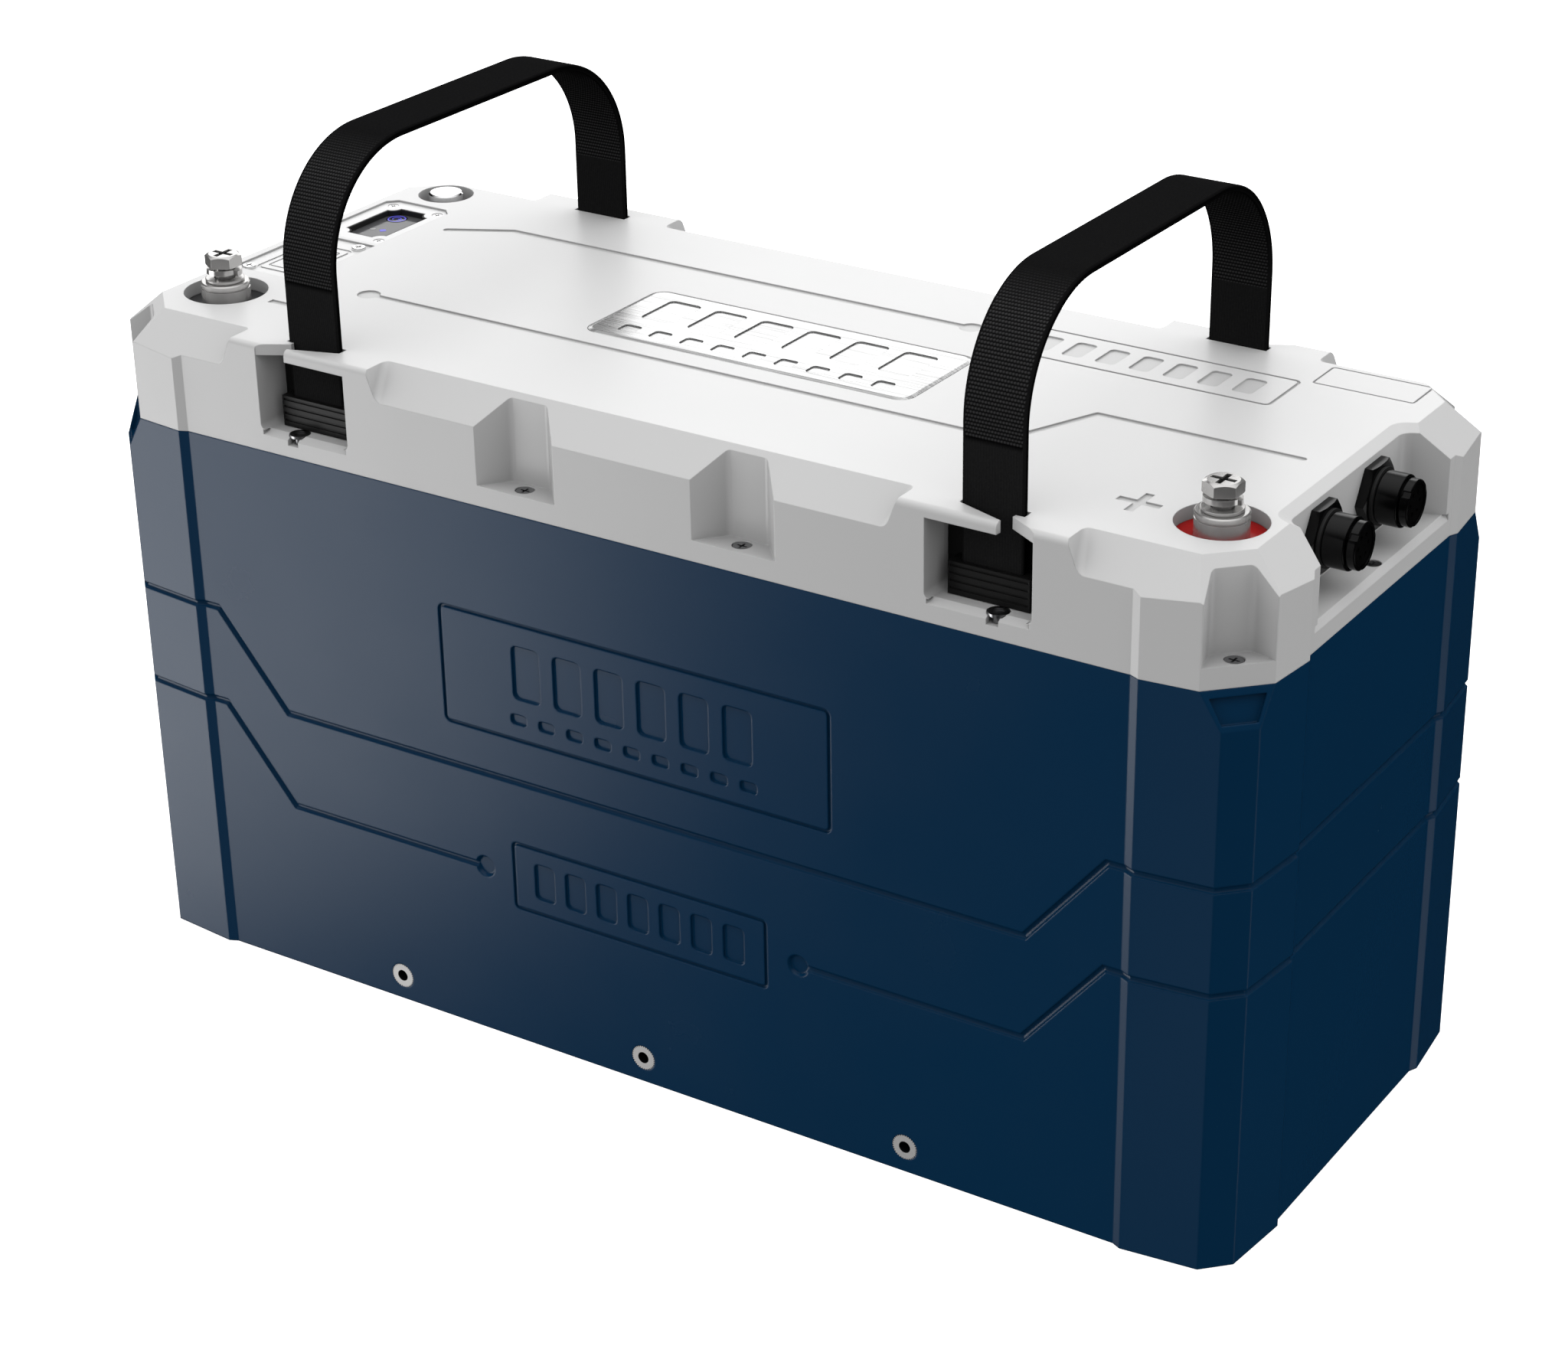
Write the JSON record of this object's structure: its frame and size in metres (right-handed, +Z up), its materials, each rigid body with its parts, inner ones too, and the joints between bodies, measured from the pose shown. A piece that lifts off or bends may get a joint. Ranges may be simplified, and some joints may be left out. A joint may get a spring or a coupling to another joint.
{
  "type": "deep cycle battery",
  "caption": "Long box battery with a chamfered pale lid, sunk webbing carry handles, raised bolt terminals, a small display, a vent and panel data connectors.",
  "frame": {"origin": "centre of the case's flat base", "axes": "+Z up, +X along the length towards the data connectors, -Y the front with the terminals"},
  "size_m": [0.52, 0.215, 0.3564],
  "materials": {
    "case_navy": "satin moulded",
    "lid_grey": "satin moulded",
    "seal_rubber": "matte",
    "screw_steel": "satin",
    "insert_steel": "knurled, nickel plated",
    "screw_bright": "nickel plated",
    "badge_metal": "brushed",
    "vent_metal": "polished",
    "bezel_white": "satin",
    "display_glass": "gloss",
    "display_dark": "matte",
    "button_dark": "gloss",
    "cover_white": "satin",
    "connector_black": "satin",
    "connector_core": "matte",
    "insulation_sheet": "matte",
    "end_plate": "milled",
    "band_steel": "brushed",
    "busbar_aluminium": "rolled",
    "flex_amber": "matte",
    "foam": "closed-cell foam",
    "board_green": "solder mask",
    "heatsink": "extruded",
    "insulator_red": "satin",
    "insulator_dark": "satin",
    "terminal_metal": "nickel plated",
    "busbar_copper": "bare copper",
    "webbing_black": "woven webbing",
    "anchor_black": "satin",
    "cell_case": "blue film"
  },
  "bodies": {
    "battery": {"case": "case_navy", "lid": "lid_grey", "lid_gasket": "seal_rubber", "lid_screws": "screw_steel", "threaded_inserts": "insert_steel", "top_badge": "badge_metal", "vent_valve": "vent_metal", "vent_seal": "seal_rubber", "display_bezel": "bezel_white", "bezel_screws": "screw_bright", "display_window": "display_glass", "window_seal": "seal_rubber", "bay_liners": "anchor_black", "display_board": "display_dark", "service_cover": "cover_white", "service_screws": "screw_bright", "connector_nuts": "connector_black", "connector_seals": "seal_rubber", "connector_inserts": "connector_core", "cell_separators": "insulation_sheet", "end_plates": "end_plate", "compression_bands": "band_steel", "cell_busbars": "busbar_aluminium", "cell_nuts": "screw_steel", "sense_flex": "flex_amber", "base_pad": "foam", "side_pads": "foam", "bms_tray": "insulation_sheet", "bms_board": "board_green", "bms_heatsink": "heatsink", "positive_insulator": "insulator_red", "positive_terminal_base": "terminal_metal", "positive_flat_washer": "terminal_metal", "positive_lead": "busbar_copper", "negative_insulator": "insulator_dark", "negative_terminal_base": "terminal_metal", "negative_flat_washer": "terminal_metal", "negative_lead": "busbar_copper", "front_connector_shell": "connector_black", "rear_connector_shell": "connector_black", "cell_1": "cell_case", "cell_2": "cell_case", "cell_3": "cell_case", "cell_4": "cell_case", "cell_5": "cell_case", "cell_6": "cell_case", "cell_7": "cell_case", "cell_8": "cell_case"},
    "power_button": {"power_button": "button_dark"},
    "positive_washer": {"positive_spring_washer": "terminal_metal"},
    "positive_bolt": {"positive_terminal_bolt": "terminal_metal"},
    "negative_washer": {"negative_spring_washer": "terminal_metal"},
    "negative_bolt": {"negative_terminal_bolt": "terminal_metal"},
    "front_sleeve": {"front_connector_sleeve": "connector_black"},
    "rear_sleeve": {"rear_connector_sleeve": "connector_black"},
    "left_handle": {"left_strap": "webbing_black", "left_strap_anchors": "anchor_black"},
    "right_handle": {"right_strap": "webbing_black", "right_strap_anchors": "anchor_black"}
  },
  "joints": [
    {"name": "left_handle_lift", "type": "slide", "parent": "battery", "child": "left_handle", "axis": [0, 0, 1], "range_m": [0, 0.017]},
    {"name": "right_handle_lift", "type": "slide", "parent": "battery", "child": "right_handle", "axis": [0, 0, 1], "range_m": [0, 0.017]},
    {"name": "power_button_press", "type": "slide", "parent": "battery", "child": "power_button", "axis": [0, 0, -1], "range_m": [0, 0.0008], "stiffness_N_per_m": 600},
    {"name": "positive_washer_lift", "type": "slide", "parent": "battery", "child": "positive_washer", "axis": [0, 0, 1], "range_m": [0, 0.014]},
    {"name": "positive_bolt_turn", "type": "hinge", "parent": "positive_washer", "child": "positive_bolt", "pos_m": [0.2244, -0.0641, 0.2903], "axis": [0, 0, 1], "range_deg": [0, 4035]},
    {"name": "negative_washer_lift", "type": "slide", "parent": "battery", "child": "negative_washer", "axis": [0, 0, 1], "range_m": [0, 0.014]},
    {"name": "negative_bolt_turn", "type": "hinge", "parent": "negative_washer", "child": "negative_bolt", "pos_m": [-0.2244, -0.0641, 0.2903], "axis": [0, 0, 1], "range_deg": [0, 4035]},
    {"name": "front_sleeve_turn", "type": "hinge", "parent": "battery", "child": "front_sleeve", "pos_m": [0.2512, -0.0222, 0.2622], "axis": [1, 0, 0], "range_deg": [0, 60]},
    {"name": "rear_sleeve_turn", "type": "hinge", "parent": "battery", "child": "rear_sleeve", "pos_m": [0.2512, 0.0222, 0.2622], "axis": [1, 0, 0], "range_deg": [0, 60]}
  ],
  "couplings": [
    {"joint": "positive_bolt_turn", "follows": "positive_washer_lift", "rad_per_m": 5026.5},
    {"joint": "negative_bolt_turn", "follows": "negative_washer_lift", "rad_per_m": 5026.5}
  ]
}
